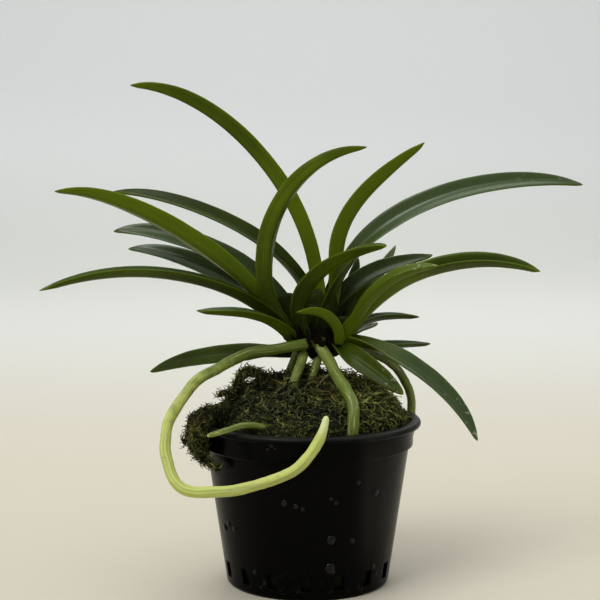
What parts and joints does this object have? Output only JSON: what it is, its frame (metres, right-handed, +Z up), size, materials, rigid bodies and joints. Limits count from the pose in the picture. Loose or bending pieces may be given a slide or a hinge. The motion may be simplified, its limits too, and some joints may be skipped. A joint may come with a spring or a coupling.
{
  "type": "potted wind orchid",
  "caption": "Small epiphytic orchid with arching V-folded strap leaves and thick looping roots, standing over a mound of moss in a round black nursery pot with drain slots",
  "frame": {"origin": "centre of the flat disc under the pot, on the surface that the pot stands on", "axes": "+Z up along the pot's axis, +X to the right of the picture, -Y towards the viewer"},
  "size_m": [0.1864, 0.0869, 0.1764],
  "materials": {
    "pot_plastic": "glossy black moulded plastic",
    "moss": "damp fibrous moss",
    "stem": "waxy leaf sheaths",
    "old_sheath": "dry fibrous sheath",
    "leaf": "waxy yellow-green leaf",
    "leaf_dark": "waxy dark green leaf",
    "root": "velvety pale green root",
    "root_brown": "weathered brown-green root"
  },
  "bodies": {
    "root": {"pot": "pot_plastic", "moss": "moss", "stem_clump": "stem", "old_sheaths": "old_sheath", "root_long": "root", "root_front": "root", "root_short_1": "root", "root_short_2": "root", "root_short_3": "root_brown", "root_back": "root_brown", "root_tip": "root", "leaf_left_1": "leaf_dark", "leaf_left_2": "leaf", "leaf_left_3": "leaf", "leaf_left_4": "leaf_dark", "leaf_left_5": "leaf_dark", "leaf_left_6": "leaf", "leaf_left_7": "leaf_dark", "leaf_mid_1": "leaf", "leaf_mid_2": "leaf_dark", "leaf_mid_3": "leaf", "leaf_mid_4": "leaf_dark", "leaf_mid_5": "leaf_dark", "leaf_mid_6": "leaf_dark", "leaf_right_1": "leaf", "leaf_right_2": "leaf", "leaf_right_3": "leaf", "leaf_right_4": "leaf_dark", "leaf_right_5": "leaf_dark", "leaf_right_6": "leaf_dark", "leaf_right_7": "leaf", "leaf_right_8": "leaf", "leaf_back_1": "leaf", "leaf_back_2": "leaf_dark"}
  },
  "joints": []
}
